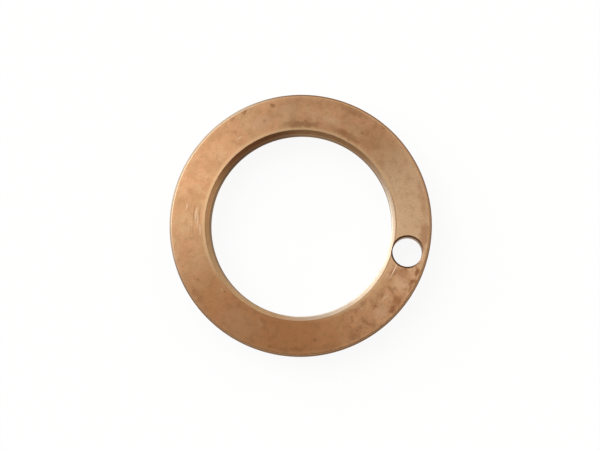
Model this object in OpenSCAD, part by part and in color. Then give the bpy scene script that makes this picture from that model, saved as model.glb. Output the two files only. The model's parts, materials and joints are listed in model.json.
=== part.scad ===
// Thrust washer: a flat bronze ring, turned in one piece, that takes the end load of a shaft.
// A peg in the housing stands in the hole in its land and stops it from turning.
// Lengths are in millimetres. +Z is the bore axis, the washer lies on the plane z = 0,
// and the peg hole is on the +X side.

/* [Ring] */
// Bore diameter, a slip fit over a 7/8 in bearing shell
bore_d = 22.3; // [12:0.05:40]
// Thickness between the two thrust faces
thickness = 3.2; // [1.5:0.05:6]

/* [Peg hole] */
// Diameter of the hole for the locating peg
peg_hole_d = 3.6; // [2:0.05:8]
// Metal left between the peg hole and the bore
bore_web = 0.5; // [0.35:0.05:4]
// Metal left between the peg hole and the rim
rim_web = 0.75; // [0.5:0.05:4]

/* [Edges] */
// Leg of the 45 degree chamfer on both edges of the bore
bore_chamfer = 0.45; // [0.1:0.05:0.6]
// Leg of the 45 degree chamfer on both edges of the rim
rim_chamfer = 0.3; // [0.1:0.05:0.6]
// Leg of the 45 degree chamfer left by deburring both ends of the peg hole
peg_hole_chamfer = 0.2; // [0.05:0.05:0.25]

/* [Hidden] */
$fn = 180;

// The land is just wide enough for the peg hole and the metal on either side of it.
land_w = bore_web + peg_hole_d + rim_web;
bore_r = bore_d / 2;
rim_r = bore_r + land_w;
peg_hole_r = peg_hole_d / 2;
peg_hole_x = bore_r + bore_web + peg_hole_r;

// How far a cutting tool runs past the face that it cuts.
overrun = thickness / 2;

// Half section of the ring: radius across, height up, with all four edges chamfered.
module ring_section() {
    polygon([
        [bore_r + bore_chamfer, 0],
        [rim_r - rim_chamfer, 0],
        [rim_r, rim_chamfer],
        [rim_r, thickness - rim_chamfer],
        [rim_r - rim_chamfer, thickness],
        [bore_r + bore_chamfer, thickness],
        [bore_r, thickness - bore_chamfer],
        [bore_r, bore_chamfer],
    ]);
}

// A 45 degree countersink that opens upwards through the plane z = 0.
module deburr_cone() {
    translate([0, 0, -peg_hole_chamfer])
        cylinder(
            h = peg_hole_chamfer + overrun,
            r1 = peg_hole_r,
            r2 = peg_hole_r + peg_hole_chamfer + overrun
        );
}

// The drill, and the deburring tool at both ends of the hole that it leaves.
module peg_hole_cutter() {
    translate([peg_hole_x, 0, 0]) {
        translate([0, 0, -overrun])
            cylinder(h = thickness + 2 * overrun, r = peg_hole_r);
        translate([0, 0, thickness])
            deburr_cone();
        mirror([0, 0, 1])
            deburr_cone();
    }
}

module thrust_washer() {
    color("peru")
        difference() {
            rotate_extrude()
                ring_section();
            peg_hole_cutter();
        }
}

thrust_washer();
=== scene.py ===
import json
import math
from typing import NamedTuple

import bpy
from mathutils import Matrix, Vector


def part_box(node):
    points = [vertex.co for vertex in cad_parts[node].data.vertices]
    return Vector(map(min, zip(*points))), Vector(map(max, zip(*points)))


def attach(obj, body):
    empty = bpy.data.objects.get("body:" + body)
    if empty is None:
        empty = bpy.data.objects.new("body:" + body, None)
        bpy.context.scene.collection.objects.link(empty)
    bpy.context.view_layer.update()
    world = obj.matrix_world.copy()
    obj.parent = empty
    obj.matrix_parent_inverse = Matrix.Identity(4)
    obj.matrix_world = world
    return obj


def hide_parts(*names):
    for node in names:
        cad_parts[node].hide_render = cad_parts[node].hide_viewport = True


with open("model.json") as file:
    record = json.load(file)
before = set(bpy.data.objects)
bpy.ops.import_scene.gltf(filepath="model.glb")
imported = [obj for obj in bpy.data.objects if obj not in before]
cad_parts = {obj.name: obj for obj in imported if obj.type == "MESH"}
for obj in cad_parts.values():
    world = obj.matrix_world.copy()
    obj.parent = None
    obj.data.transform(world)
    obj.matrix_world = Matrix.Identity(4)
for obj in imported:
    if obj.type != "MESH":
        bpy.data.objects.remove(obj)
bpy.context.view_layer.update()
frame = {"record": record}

# Sizes of the washer, from the frame, in metres
MM = 0.001
mounts = {mount["name"]: mount for mount in frame["record"]["mounts"]}
washer_low, washer_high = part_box("thrust_washer")
thickness = washer_high.z - washer_low.z
rim_r = min(washer_high.x - washer_low.x, washer_high.y - washer_low.y) / 2
bore_r = mounts["bore"]["dims"]["r_mm"] * MM
bore_chamfer = (thickness - mounts["bore"]["dims"]["length_mm"] * MM) / 2
rim_chamfer = 0.3 * MM
peg_hole_r = mounts["peg_hole"]["dims"]["r_mm"] * MM
peg_hole_x = mounts["peg_hole"]["pos_m"][0]
peg_hole_chamfer = (thickness - mounts["peg_hole"]["dims"]["length_mm"] * MM) / 2

# Fineness of the meshes
ring_segments = 720
hole_segments = 144
edge_round = 0.06 * MM
edge_hold = 0.02 * MM
round_steps = 4
longest_step = 0.5 * MM
sharp_edge = math.radians(35)
flat_within = math.radians(1)

# The view: the picture is 600 wide, with the middle of the upper face almost in its middle
picture_width = 600
px_per_mm = 8.236
camera_distance = 150 * MM
camera_tilt = math.radians(5.8)
tilt_heading = math.radians(-50.5)
peg_hole_heading = math.radians(-14.4)
aim_offset = 0.067 * MM
sensor_mm = 36

# The pale floor, and the dim room round it
floor_colour = (0.08, 0.08, 0.08)
floor_lift = 0.92
floor_width = 6
floor_drop = 0.02 * MM
room_colour = (1.0, 0.8, 0.62)
room_overhead = 0.04
room_horizon = 0.36
room_falloff = 3

# Directions on the table as the picture shows them
image_right = Vector((math.cos(peg_hole_heading), -math.sin(peg_hole_heading), 0))
image_up = Vector((0, 0, 1)).cross(image_right)


class Lamp(NamedTuple):
    """A soft light far off: its heading in the picture, its height, and how fast it fades off its axis."""

    heading: float
    height: float
    strength: float
    focus: float
    tint: tuple


# A large lamp on the left, a weaker one beyond the washer and a glow low on the right, in degrees
lamps = [
    Lamp(152, 27, 4.75, 5.2, (1.0, 1.0, 1.0)),
    Lamp(64, 38, 1.55, 4.9, (1.0, 0.97, 0.94)),
    Lamp(-5, 12, 0.45, 4.0, (1.0, 0.85, 0.7)),
]


class Mark(NamedTuple):
    """A mark on the upper face: its place from the peg hole and the bore axis, and its size."""

    degrees: float
    radius_mm: float
    length_mm: float
    width_mm: float
    strength: float


# Brown tarnish on the upper face: most of it is beside the peg hole, on its clockwise side
brown_marks = [
    Mark(25, 15.2, 6.0, 1.0, 0.35),
    Mark(10, 15.1, 3.4, 1.4, 0.65),
    Mark(-8, 15.4, 1.2, 0.9, 1.0),
    Mark(-13, 15.3, 1.2, 0.8, 0.9),
    Mark(-16, 15.4, 1.0, 0.5, 0.8),
    Mark(-24, 15.0, 2.0, 1.3, 0.7),
    Mark(-28, 15.2, 1.4, 0.9, 0.9),
    Mark(-11, 13.9, 1.9, 1.8, 0.6),
    Mark(-11, 12.9, 1.6, 1.0, 0.6),
    Mark(-26, 12.9, 1.6, 1.2, 0.5),
    Mark(-33, 13.5, 0.8, 0.6, 0.7),
    Mark(-46, 12.9, 0.5, 0.4, 0.5),
    Mark(-47, 14.5, 0.5, 0.4, 0.6),
    Mark(-50, 15.0, 1.6, 1.0, 0.4),
    Mark(-62, 15.2, 3.0, 1.0, 0.3),
    Mark(-68, 14.0, 0.5, 0.4, 0.5),
    Mark(-76, 15.1, 1.8, 0.8, 0.4),
    Mark(-83, 15.2, 1.6, 0.6, 0.3),
    Mark(-89, 15.2, 0.8, 0.5, 0.4),
    Mark(-96, 12.4, 1.2, 0.6, 0.3),
    Mark(-124, 12.1, 0.4, 0.3, 0.6),
    Mark(-131, 15.1, 2.4, 1.0, 0.3),
    Mark(-137, 14.0, 0.4, 0.3, 0.5),
    Mark(174, 12.6, 0.4, 0.3, 0.3),
    Mark(168, 12.6, 0.5, 0.4, 0.3),
    Mark(155, 13.1, 0.4, 0.3, 0.3),
    Mark(139, 13.9, 0.5, 0.4, 0.3),
    Mark(137, 15.3, 0.9, 0.4, 0.4),
    Mark(130, 15.5, 0.9, 0.3, 0.7),
    Mark(123, 13.4, 0.6, 0.4, 0.3),
    Mark(117, 15.0, 0.8, 0.4, 0.6),
    Mark(103, 12.3, 5.0, 0.9, 0.5),
    Mark(76, 12.3, 4.0, 1.2, 0.5),
    Mark(78, 15.3, 5.0, 1.0, 0.4),
    Mark(60, 13.7, 9.0, 5.0, 0.25),
    Mark(70, 13.4, 0.4, 0.3, 0.7),
    Mark(64, 15.5, 0.8, 0.4, 0.5),
]

# Places on the upper face that are rubbed bright
bright_marks = [
    Mark(20, 12.2, 6.0, 1.0, 0.6),
    Mark(-16, 14.0, 2.2, 1.4, 0.5),
    Mark(-26, 13.6, 1.6, 0.4, 0.7),
    Mark(-33, 14.5, 1.8, 1.3, 0.5),
    Mark(-39, 12.7, 0.4, 0.3, 0.7),
    Mark(-98, 12.8, 1.0, 0.8, 0.4),
    Mark(-107, 14.0, 6.0, 4.0, 0.3),
    Mark(-126, 12.3, 0.6, 0.4, 0.6),
    Mark(88, 13.4, 2.6, 1.2, 0.4),
    Mark(109, 14.2, 2.5, 2.0, 0.35),
    Mark(125, 13.4, 3.6, 1.8, 0.4),
]

# Single bright scratches on the upper face
bright_scratches = [
    Mark(-12, 12.7, 2.0, 0.16, 0.9),
    Mark(-16, 12.2, 1.6, 0.12, 0.5),
    Mark(139, 13.0, 0.9, 0.15, 0.7),
    Mark(-175, 14.0, 0.9, 0.15, 0.7),
    Mark(-172, 12.8, 1.8, 0.15, 0.8),
    Mark(-168, 12.5, 2.2, 0.12, 0.7),
    Mark(-163, 12.2, 1.6, 0.2, 0.6),
]

# Where fine scratches run round the upper face
scuffs = [
    Mark(-170, 12.9, 7.0, 2.2, 1.0),
    Mark(-15, 12.6, 3.5, 1.4, 0.6),
]

# Where the upper face is tarnished most unevenly
uneven_marks = [
    Mark(-18, 13.7, 7.0, 5.0, 1.0),
    Mark(-40, 13.7, 7.0, 5.0, 0.7),
    Mark(-110, 13.7, 14.0, 5.0, 0.2),
]

# Sides of the bore axis, in degrees from the peg hole, on which a surface differs; most are sides of
# painted light and shade, one is a side of dirt
# Painted shade: the upper face is stained warmer and darker on this side, where its groove highlight is dim
shaded_face_side = -90
# Painted highlight: the upper face is stained paler on this side, where its groove highlight is bright
lit_face_side = 22
# Side on which the painted highlight at the thrust faces' bore edges is weakest, where they are in shade
shaded_edge_side = -98
# Painted highlight: the bore's chamfers are paler on this side, where they mirror the lamp
lit_bore_side = -16
# Painted shade: the bore's chamfers are greyer and darker on this side, where they mirror little light
shaded_chamfer_side = -125
dirty_bore_side = 8
# Painted shade: the bore's chamfers and walls are stained brown on this side, where they face away from the
# lamp
shaded_bore_side = 136
# Painted highlight: the rim's chamfers are paler on this side, where they mirror the lamp
lit_rim_side = 164
# Painted light: the peg hole is paler on this side, where it faces the lamp, and darker on the other
lit_hole_side = 20

# Height at which the patterns of tarnish meet the upper face, which picks the clouds that it shows
pattern_level_mm = 2.6

# How far in from its edges a thrust face is lighter: partly rubbed bright, partly a painted highlight
edge_band_mm = 0.6

# The line of dirt where the bore's chamfers meet the thrust faces
dirt_offset_mm = 0.05
dirt_reach_mm = 0.15

# A mark is full up to one share of its half size, and gone at the other
mark_core = 0.4
mark_reach = 1.3

# How fast the turning lines go by up a wall, against across a face
lines_up_wall = 1.7

# Shifts in millimetres that make one cloudy pattern unlike another
mottle_shift = (0, 60, 0)
hue_shift = (40, 0, 0)

# Tones, as a picture's bytes give them, that several finishes share, and a tint of glancing shine that
# paints shade: it dims the lit floor that walls and chamfers mirror
worn_brown = (160, 116, 80)
dirt_brown = (130, 92, 62)
dimmed_shine = (0.4, 0.35, 0.3)

# The turn that lays the spread of light across the turning grooves
quarter_turn = 0.25


def on_table(heading):
    """The direction on the table that the picture shows at this angle, anticlockwise from its right."""
    return image_right * math.cos(heading) + image_up * math.sin(heading)


def colour(red, green, blue):
    """A colour as a picture's bytes give it, as the linear values that a shader takes."""
    shares = [value / 255 for value in (red, green, blue)]
    linear = [x / 12.92 if x <= 0.04045 else ((x + 0.055) / 1.055) ** 2.4 for x in shares]
    return (*linear, 1)


def show(name, data):
    """A new object in the scene that holds this data."""
    made = bpy.data.objects.new(name, data)
    bpy.context.scene.collection.objects.link(made)
    return made


# Camera
def make_camera():
    """A view from nearly straight above, a little towards the picture's lower right."""
    lean = on_table(tilt_heading) * math.sin(camera_tilt)
    backwards = lean + Vector((0, 0, math.cos(camera_tilt)))
    right = image_up.cross(backwards).normalized()
    up = backwards.cross(right)
    data = bpy.data.cameras.new("camera")
    data.sensor_width = sensor_mm
    data.lens = sensor_mm * camera_distance / MM * px_per_mm / picture_width
    data.clip_start = 10 * MM
    data.clip_end = floor_width
    camera = show("camera", data)
    aim = Vector((0, 0, thickness)) + on_table(tilt_heading) * aim_offset
    place = aim + backwards * camera_distance
    turn = Matrix((right, up, backwards)).transposed().to_4x4()
    camera.matrix_world = Matrix.Translation(place) @ turn
    bpy.context.scene.camera = camera


# Shader nodes
class Shader:
    """A node tree, with a short call for each kind of node that the finishes use."""

    def __init__(self, tree):
        self.tree = tree
        self.tree.nodes.clear()

    def add(self, kind, **inputs):
        """A new node. Each input is a value, or a socket to link."""
        made = self.tree.nodes.new(kind)
        for name, value in inputs.items():
            self.put(made.inputs[name.replace("_", " ")], value)
        return made

    def put(self, socket, value):
        if isinstance(value, bpy.types.NodeSocket):
            self.tree.links.new(value, socket)
        else:
            socket.default_value = value

    def number(self, operation, first, second=0.0, third=0.0):
        made = self.tree.nodes.new("ShaderNodeMath")
        made.operation = operation
        for socket, value in zip(made.inputs, (first, second, third)):
            self.put(socket, value)
        return made.outputs[0]

    def vector(self, operation, first, second=(0, 0, 0), third=(0, 0, 0)):
        made = self.tree.nodes.new("ShaderNodeVectorMath")
        made.operation = operation
        for socket, value in zip(made.inputs, (first, second, third)):
            self.put(socket, value)
        return made.outputs["Value" if operation in ("LENGTH", "DOT_PRODUCT") else "Vector"]

    def fade(self, value, start, end):
        """0 up to start and 1 from end on, with a smooth step between them."""
        made = self.add("ShaderNodeMapRange", Value=value, From_Min=start, From_Max=end)
        made.interpolation_type = "SMOOTHSTEP"
        return made.outputs["Result"]

    def between(self, share, low, high):
        """A number that goes from low to high as the share goes from 0 to 1."""
        return self.number("MULTIPLY_ADD", share, high - low, low)

    def mix(self, share, first, second):
        made = self.tree.nodes.new("ShaderNodeMix")
        made.data_type = "RGBA"
        self.put(made.inputs["Factor"], share)
        self.put([x for x in made.inputs if x.name == "A" and x.type == "RGBA"][0], first)
        self.put([x for x in made.inputs if x.name == "B" and x.type == "RGBA"][0], second)
        return [x for x in made.outputs if x.type == "RGBA"][0]

    def noise(self, where, scale, detail=3.0, roughness=0.5):
        made = self.add("ShaderNodeTexNoise", Vector=where, Scale=scale, Detail=detail, Roughness=roughness)
        return made.outputs["Fac"]

    def sum(self, first, second):
        """The light of two shaders together."""
        made = self.tree.nodes.new("ShaderNodeAddShader")
        self.put(made.inputs[0], first.outputs[0])
        self.put(made.inputs[1], second.outputs[0])
        return made


# Bronze
class BronzeShader(Shader):
    """What the washer's finishes share: places in millimetres, marks, grooves and the metal itself."""

    def __init__(self, name):
        self.material = bpy.data.materials.new(name)
        self.material.use_nodes = True
        super().__init__(self.material.node_tree)
        place = self.add("ShaderNodeTexCoord").outputs["Object"]
        rise = (0, 0, pattern_level_mm - thickness / MM)
        self.place = self.vector("MULTIPLY_ADD", place, (1 / MM, 1 / MM, 1 / MM), rise)
        self.plan = self.vector("MULTIPLY", self.place, (1, 1, 0))
        self.radius = self.vector("LENGTH", self.plan)
        self.height = self.add("ShaderNodeSeparateXYZ", Vector=self.place).outputs["Z"]

    def turned_noise(self, across, along):
        """Noise drawn out round the bore axis: across lines to a millimetre, along breaks to a radian."""
        turn = self.vector("MULTIPLY", self.vector("NORMALIZE", self.plan), (along, along, 0))
        parts = self.add("ShaderNodeSeparateXYZ", Vector=turn).outputs
        level = self.number("MULTIPLY_ADD", self.height, lines_up_wall, self.radius)
        where = self.add(
            "ShaderNodeCombineXYZ",
            X=self.number("MULTIPLY", level, across),
            Y=parts["X"],
            Z=parts["Y"],
        )
        return self.noise(where.outputs["Vector"], 1.0, 4.0, 0.6)

    def ragged_plan(self, scale, shift_mm):
        """The plan, shifted a little to and fro, so that what is drawn on it has ragged edges."""
        jitter = self.add("ShaderNodeTexNoise", Vector=self.place, Scale=scale, Detail=4.0)
        offset = self.vector("SUBTRACT", jitter.outputs["Color"], (0.5, 0.5, 0.5))
        reach = (2 * shift_mm, 2 * shift_mm, 0)
        return self.vector("MULTIPLY_ADD", offset, reach, self.plan)

    def facing(self, degrees):
        """1 on this side of the bore axis, in degrees from the peg hole, down to -1 on the other side."""
        turn = math.radians(degrees)
        around = self.vector("NORMALIZE", self.plan)
        return self.vector("DOT_PRODUCT", around, (math.cos(turn), math.sin(turn), 0))

    def edge_wear_and_highlight(self):
        """How bright a thrust face is at its edges, partly rubbed and partly a painted highlight: most at
        the bore, less on its shaded side.
        """
        bore_edge = (bore_r + bore_chamfer) / MM
        rim_edge = (rim_r - rim_chamfer) / MM
        shaded_side = self.fade(self.facing(shaded_edge_side), 0.65, 0.95)
        bore_side = self.fade(self.radius, bore_edge + edge_band_mm, bore_edge)
        bore_side = self.number("MULTIPLY", bore_side, self.between(shaded_side, 1.0, 0.1))
        rim_side = self.fade(self.radius, rim_edge - edge_band_mm, rim_edge)
        return self.number("MULTIPLY_ADD", rim_side, 0.2, bore_side)

    def bore_dirt(self):
        """How much dirt lies where the bore's chamfers meet the thrust faces: most beside the peg hole."""
        middle = (bore_r + bore_chamfer) / MM + dirt_offset_mm
        distance = self.number("ABSOLUTE", self.number("SUBTRACT", self.radius, middle))
        line = self.fade(distance, dirt_reach_mm, dirt_reach_mm / 2)
        side = self.fade(self.facing(dirty_bore_side), 0.8, 1.0)
        return self.number("MULTIPLY", line, self.between(side, 0.1, 0.5))

    def bore_shade(self):
        """How strongly the bore is painted with shade, as a brown stain: most across from the peg hole."""
        return self.fade(self.facing(shaded_bore_side), 0.8, 1.0)

    def marked(self, marks, where):
        """How strongly a place on the upper face is marked, from 0 to 1."""
        strongest = 0.0
        for mark in marks:
            turn = math.radians(mark.degrees)
            near = self.add(
                "ShaderNodeMapping",
                Vector=where,
                Location=(mark.radius_mm * math.cos(turn), mark.radius_mm * math.sin(turn), 0),
                Rotation=(0, 0, turn),
                Scale=(mark.width_mm / 2, mark.length_mm / 2, 1),
            )
            near.vector_type = "TEXTURE"
            distance = self.vector("LENGTH", near.outputs["Vector"])
            here = self.number("MULTIPLY", self.fade(distance, mark_reach, mark_core), mark.strength)
            strongest = self.number("MAXIMUM", strongest, here)
        upper = self.number("GREATER_THAN", self.height, pattern_level_mm - thickness / MM / 2)
        return self.number("MULTIPLY", strongest, upper)

    def stain(self, base, share, tone, strength=1.0):
        """The base colour, taken towards a tone by a share that is this strong at most."""
        return self.mix(self.number("MULTIPLY", share, strength), base, colour(*tone))

    def worn(self, base, lines):
        """The colour of a cut edge, darker in its turning lines and in faint clouds."""
        clouds = self.noise(self.place, 0.6, 4.0, 0.6)
        base = self.stain(base, self.fade(lines, 0.4, 0.7), worn_brown, 0.25)
        return self.stain(base, self.fade(clouds, 0.4, 0.7), worn_brown, 0.2)

    def metal(self, base, roughness, height, depth_mm, anisotropy, edge_tint=(1, 1, 1)):
        """The bronze itself. Its grooves run round the bore axis and spread the light across them."""
        bump = self.add("ShaderNodeBump", Strength=1.0, Distance=depth_mm * MM, Height=height)
        tangent = self.tree.nodes.new("ShaderNodeTangent")
        tangent.direction_type = "RADIAL"
        tangent.axis = "Z"
        shader = self.add(
            "ShaderNodeBsdfPrincipled",
            Base_Color=base,
            Metallic=1.0,
            Roughness=roughness,
            Specular_Tint=(*edge_tint, 1),
            Anisotropic=anisotropy,
            Anisotropic_Rotation=quarter_turn,
            Normal=bump.outputs["Normal"],
            Tangent=tangent.outputs["Tangent"],
        )
        self.add("ShaderNodeOutputMaterial", Surface=shader.outputs["BSDF"])
        return self.material


def thrust_face_bronze():
    """Satin copper-brown: cloudy tarnish, brown stains, rubbed places and fine marks round the bore, with
    painted light: a paler side, a warmer, darker side and bright edge bands.
    """
    shader = BronzeShader("thrust_face_bronze")
    clouds = shader.noise(shader.place, 0.4, 5.0, 0.6)
    mottle = shader.noise(shader.vector("ADD", shader.place, mottle_shift), 1.1, 4.0, 0.6)
    hue = shader.noise(shader.vector("ADD", shader.place, hue_shift), 0.55, 4.0, 0.6)
    grain = shader.noise(shader.place, 5.0, 3.0, 0.6)
    lines = shader.turned_noise(7.0, 3.0)
    ragged = shader.ragged_plan(1.6, 0.5)
    brown = shader.marked(brown_marks, ragged)
    bright = shader.marked(bright_marks, ragged)
    bare = shader.marked(bright_scratches, shader.plan)
    scuffed = shader.marked(scuffs, ragged)
    scratches = shader.number("MULTIPLY", shader.fade(lines, 0.55, 0.66), scuffed)
    grooves = shader.number("MULTIPLY", shader.fade(lines, 0.45, 0.36), scuffed)
    uneven = shader.between(shader.marked(uneven_marks, ragged), 0.3, 0.9)
    patches = shader.number("MULTIPLY", shader.fade(mottle, 0.45, 0.7), uneven)
    # Painted shade: the face warmer and darker on one side
    shaded_face = shader.fade(shader.facing(shaded_face_side), 0.5, 1.0)
    # Painted highlight: the face paler on the other side
    pale = shader.fade(shader.facing(lit_face_side), 0.7, 1.0)

    base = shader.mix(shader.fade(hue, 0.35, 0.65), colour(229, 184, 138), colour(233, 176, 131))
    base = shader.stain(base, shader.fade(clouds, 0.35, 0.65), (200, 150, 106), 0.6)
    base = shader.stain(base, shaded_face, (222, 150, 94), 0.7)
    base = shader.stain(base, pale, (234, 202, 164), 0.6)
    base = shader.stain(base, patches, (172, 120, 80))
    base = shader.stain(base, shader.fade(grain, 0.4, 0.7), (176, 126, 88), 0.3)
    # Edge bands: partly wear, partly a painted highlight that is weaker on the shaded side
    base = shader.stain(base, shader.edge_wear_and_highlight(), (240, 200, 154), 0.85)
    base = shader.stain(base, bright, (236, 198, 160), 0.7)
    base = shader.stain(base, brown, (134, 84, 50), 0.9)
    base = shader.stain(base, scratches, (236, 196, 156), 0.7)
    base = shader.stain(base, grooves, (156, 106, 70), 0.6)
    base = shader.stain(base, bare, (244, 214, 182))
    base = shader.stain(base, shader.bore_dirt(), dirt_brown)
    roughness = shader.number("MULTIPLY_ADD", brown, 0.15, shader.between(clouds, 0.26, 0.34))
    return shader.metal(base, roughness, lines, 0.003, 0.93)


def bore_edge_bronze():
    """The bore's chamfers, with painted light: a painted highlight, pale beside the peg hole and most so
    along the bore, a greyer painted shade on one side, and brown painted shade across from it.
    """
    shader = BronzeShader("bore_edge_bronze")
    lines = shader.turned_noise(9.0, 2.0)
    pale = shader.fade(shader.facing(lit_bore_side), 0.1, 0.8)
    inner = shader.fade(shader.radius, (bore_r + bore_chamfer / 2) / MM, bore_r / MM)
    shaded_side = shader.fade(shader.facing(shaded_chamfer_side), 0.65, 0.95)
    # Painted highlight: the chamfers paler on the lit side, palest along the bore
    base = shader.mix(pale, colour(212, 170, 128), colour(200, 184, 164))
    base = shader.stain(base, shader.number("MULTIPLY", pale, inner), (236, 222, 202))
    # Painted shade on the chamfers' dim side
    base = shader.stain(base, shaded_side, (190, 160, 122), 0.9)
    # Painted shade: brown across from the peg hole
    base = shader.stain(base, shader.bore_shade(), (126, 76, 42), 0.75)
    base = shader.stain(base, shader.bore_dirt(), dirt_brown)
    base = shader.worn(base, lines)
    return shader.metal(base, shader.between(lines, 0.3, 0.4), lines, 0.002, 0.3)


def rim_edge_bronze():
    """The rim's chamfers, with painted light: painted shade, dark towards the outside, and a painted
    highlight, pale on the side away from the peg hole. Their glancing shine is dimmed as painted shade.
    """
    shader = BronzeShader("rim_edge_bronze")
    lines = shader.turned_noise(9.0, 2.0)
    # Painted shade, darker towards the outside, and a painted highlight on the lit side
    outward_shade = shader.fade(shader.radius, (rim_r - rim_chamfer) / MM, rim_r / MM)
    pale = shader.fade(shader.facing(lit_rim_side), 0.5, 0.95)
    base = shader.mix(outward_shade, colour(194, 152, 114), colour(112, 86, 66))
    base = shader.stain(base, pale, (208, 186, 160))
    base = shader.worn(base, lines)
    return shader.metal(base, shader.between(lines, 0.18, 0.28), lines, 0.002, 0.3, dimmed_shine)


def wall_bronze():
    """The upright walls of bore and rim: duller, with a tint that holds back their glancing shine as
    painted shade, and brown painted shade across from the peg hole.
    """
    shader = BronzeShader("wall_bronze")
    lines = shader.turned_noise(9.0, 2.0)
    base = shader.mix(shader.fade(lines, 0.35, 0.7), colour(176, 144, 112), colour(148, 118, 90))
    # Painted shade: brown across from the peg hole
    base = shader.stain(base, shader.bore_shade(), (100, 72, 54), 0.8)
    return shader.metal(base, shader.between(lines, 0.3, 0.42), lines, 0.003, 0.4, dimmed_shine)


def drilled_bronze():
    """The wall and edges of the peg hole: drill marks, a painted highlight on its lit side, and painted
    shade, darkest beside the bore, with a tint that dims its glancing shine as painted shade.
    """
    shader = BronzeShader("drilled_bronze")
    lines = shader.noise(shader.vector("MULTIPLY", shader.place, (1, 1, 8)), 1.0, 4.0)
    lit_side = math.radians(lit_hole_side)
    from_axis = shader.vector("SUBTRACT", shader.plan, (peg_hole_x / MM, 0, 0))
    towards = shader.vector("DOT_PRODUCT", from_axis, (math.cos(lit_side), math.sin(lit_side), 0))
    base = shader.mix(shader.fade(lines, 0.3, 0.7), colour(144, 106, 75), colour(118, 84, 58))
    # Painted highlight on the lit side of the hole, painted shade on the side beside the bore
    base = shader.stain(base, shader.fade(towards, 0.0, 1.2), (170, 134, 104))
    base = shader.stain(base, shader.fade(towards, -1.3, -1.8), (80, 56, 40), 0.7)
    return shader.metal(base, shader.between(lines, 0.25, 0.4), lines, 0.004, 0.0, (0.65, 0.55, 0.46))


# Meshes
def fillet(before, corner, after):
    """Points on the small arc that rounds a corner, and one beside each end to keep the sides flat."""
    to_before = (before - corner).normalized()
    to_after = (after - corner).normalized()
    half_angle = to_before.angle(to_after) / 2
    centre = corner + (to_before + to_after).normalized() * edge_round / math.sin(half_angle)
    tangent = edge_round / math.tan(half_angle)
    start = (corner + to_before * tangent - centre).normalized()
    end = (corner + to_after * tangent - centre).normalized()
    arc = [centre + start.slerp(end, step / round_steps) * edge_round for step in range(round_steps + 1)]
    return [arc[0] + to_before * edge_hold, *arc, arc[-1] + to_after * edge_hold]


def split(outline):
    """The same outline, radius and height, with no step longer than longest_step."""
    points = []
    for start, end in zip(outline, outline[1:]):
        pieces = math.ceil((end - start).length / longest_step)
        points += [start.lerp(end, piece / pieces) for piece in range(pieces)]
    return points + outline[-1:]


def washer_outline():
    """The ring's half section, with every edge slightly rounded. It ends where it starts."""
    corners = [
        Vector((bore_r + bore_chamfer, 0)),
        Vector((rim_r - rim_chamfer, 0)),
        Vector((rim_r, rim_chamfer)),
        Vector((rim_r, thickness - rim_chamfer)),
        Vector((rim_r - rim_chamfer, thickness)),
        Vector((bore_r + bore_chamfer, thickness)),
        Vector((bore_r, thickness - bore_chamfer)),
        Vector((bore_r, bore_chamfer)),
    ]
    outline = []
    for i, corner in enumerate(corners):
        outline += fillet(corners[i - 1], corner, corners[(i + 1) % len(corners)])
    return split(outline + outline[:1])


def drill_outline():
    """The side of the drill and of the deburring tools at its two ends, from below to above."""
    past = thickness / 2
    corners = [
        Vector((peg_hole_r + peg_hole_chamfer + past, -past)),
        Vector((peg_hole_r, peg_hole_chamfer)),
        Vector((peg_hole_r, thickness - peg_hole_chamfer)),
        Vector((peg_hole_r + peg_hole_chamfer + past, thickness + past)),
    ]
    return split([corners[0], *fillet(*corners[:3]), *fillet(*corners[1:]), corners[3]])


def turned(name, outline, segments, axis_x=0):
    """A solid turned about an upright axis. An outline that ends where it starts makes a ring."""
    ring = outline[0] == outline[-1]
    points = outline[:-1] if ring else outline
    count = len(points)
    vertices = []
    for i in range(segments):
        angle = 2 * math.pi * i / segments
        vertices += [(axis_x + p.x * math.cos(angle), p.x * math.sin(angle), p.y) for p in points]
    faces = []
    for i in range(segments):
        here = i * count
        there = (i + 1) % segments * count
        for j in range(count if ring else count - 1):
            k = (j + 1) % count
            faces.append((here + j, there + j, there + k, here + k))
    if not ring:
        faces.append(tuple(i * count for i in reversed(range(segments))))
        faces.append(tuple(i * count + count - 1 for i in range(segments)))
    mesh = bpy.data.meshes.new(name)
    mesh.from_pydata(vertices, [], faces)
    return show(name, mesh)


def finish_of(face):
    """A face's finish on the ring: 0 thrust faces, 1 upright walls, 2 bore edges, 3 rim edges."""
    upright = abs(face.normal.z)
    if upright > math.cos(flat_within):
        return 0
    if upright < math.sin(flat_within):
        return 1
    return 2 if face.center.xy.length < (bore_r + rim_r) / 2 else 3


def make_washer():
    """The ring with its peg hole cut through, in its five finishes."""
    ring = turned("washer", washer_outline(), ring_segments)
    for finish in (thrust_face_bronze(), wall_bronze(), bore_edge_bronze(), rim_edge_bronze()):
        ring.data.materials.append(finish)
    for face in ring.data.polygons:
        face.material_index = finish_of(face)
    drill = turned("drill", drill_outline(), hole_segments, peg_hole_x)
    drill.data.materials.append(drilled_bronze())
    cut = ring.modifiers.new("peg_hole", "BOOLEAN")
    cut.object = drill
    cut.operation = "DIFFERENCE"
    cut.solver = "MANIFOLD"
    cut.material_mode = "TRANSFER"
    cut_ring = ring.evaluated_get(bpy.context.evaluated_depsgraph_get())
    ring.data = bpy.data.meshes.new_from_object(cut_ring)
    ring.modifiers.clear()
    bpy.data.objects.remove(drill)
    ring.data.shade_smooth()
    ring.data.set_sharp_from_angle(angle=sharp_edge)
    return ring


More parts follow.
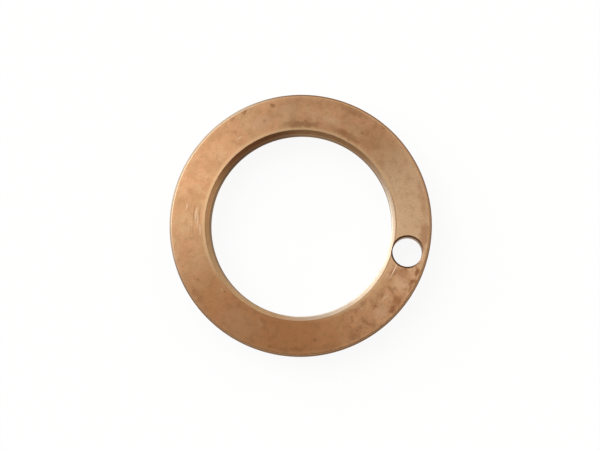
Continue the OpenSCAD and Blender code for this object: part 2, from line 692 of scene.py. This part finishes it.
# Studio
def make_floor():
    """A pale floor that shows white and keeps the washer's light shadow. It is clear from below."""
    mesh = bpy.data.meshes.new("floor")
    half = floor_width / 2
    corners = [(-half, -half), (half, -half), (half, half), (-half, half)]
    mesh.from_pydata([(x, y, -floor_drop) for x, y in corners], [], [(0, 1, 2, 3)])
    floor = show("floor", mesh)
    material = bpy.data.materials.new("floor")
    material.use_nodes = True
    mesh.materials.append(material)
    shader = Shader(material.node_tree)
    path = shader.add("ShaderNodeLightPath").outputs
    seen = shader.number("MAXIMUM", path["Is Camera Ray"], path["Is Glossy Ray"])
    seen = shader.number("MAXIMUM", seen, path["Is Transmission Ray"])
    pale = shader.add("ShaderNodeBsdfDiffuse", Color=(*floor_colour, 1))
    lift = shader.add("ShaderNodeEmission", Strength=shader.number("MULTIPLY", seen, floor_lift))
    side = shader.tree.nodes.new("ShaderNodeMixShader")
    shader.put(side.inputs[0], shader.add("ShaderNodeNewGeometry").outputs["Backfacing"])
    shader.put(side.inputs[1], shader.sum(pale, lift).outputs["Shader"])
    shader.put(side.inputs[2], shader.add("ShaderNodeBsdfTransparent").outputs["BSDF"])
    shader.add("ShaderNodeOutputMaterial", Surface=side.outputs["Shader"])


def make_light():
    """The lamps and the room as a dome of light, mirrored below the floor."""
    world = bpy.data.worlds.new("studio")
    world.use_nodes = True
    bpy.context.scene.world = world
    shader = Shader(world.node_tree)
    direction = shader.add("ShaderNodeTexCoord").outputs["Generated"]
    parts = shader.add("ShaderNodeSeparateXYZ", Vector=direction).outputs
    height = shader.number("ABSOLUTE", parts["Z"])
    upper = shader.add("ShaderNodeCombineXYZ", X=parts["X"], Y=parts["Y"], Z=height).outputs["Vector"]
    low = shader.number("POWER", shader.number("SUBTRACT", 1.0, height), room_falloff)
    room = shader.between(low, room_overhead, room_horizon)
    light = shader.add("ShaderNodeBackground", Color=(*room_colour, 1), Strength=room)
    for lamp in lamps:
        rise = math.radians(lamp.height)
        axis = on_table(math.radians(lamp.heading)) * math.cos(rise) + Vector((0, 0, math.sin(rise)))
        nearness = shader.number("MAXIMUM", shader.vector("DOT_PRODUCT", upper, tuple(axis)), 0.0)
        level = shader.number("MULTIPLY", shader.number("POWER", nearness, lamp.focus), lamp.strength)
        glow = shader.add("ShaderNodeBackground", Color=(*lamp.tint, 1), Strength=level)
        light = shader.sum(light, glow)
    shader.add("ShaderNodeOutputWorld", Surface=light.outputs["Shader"])


make_camera()
make_light()
make_floor()
washer = make_washer()
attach(washer, "root")
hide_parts("thrust_washer")

bpy.context.scene.view_settings.view_transform = "Standard"
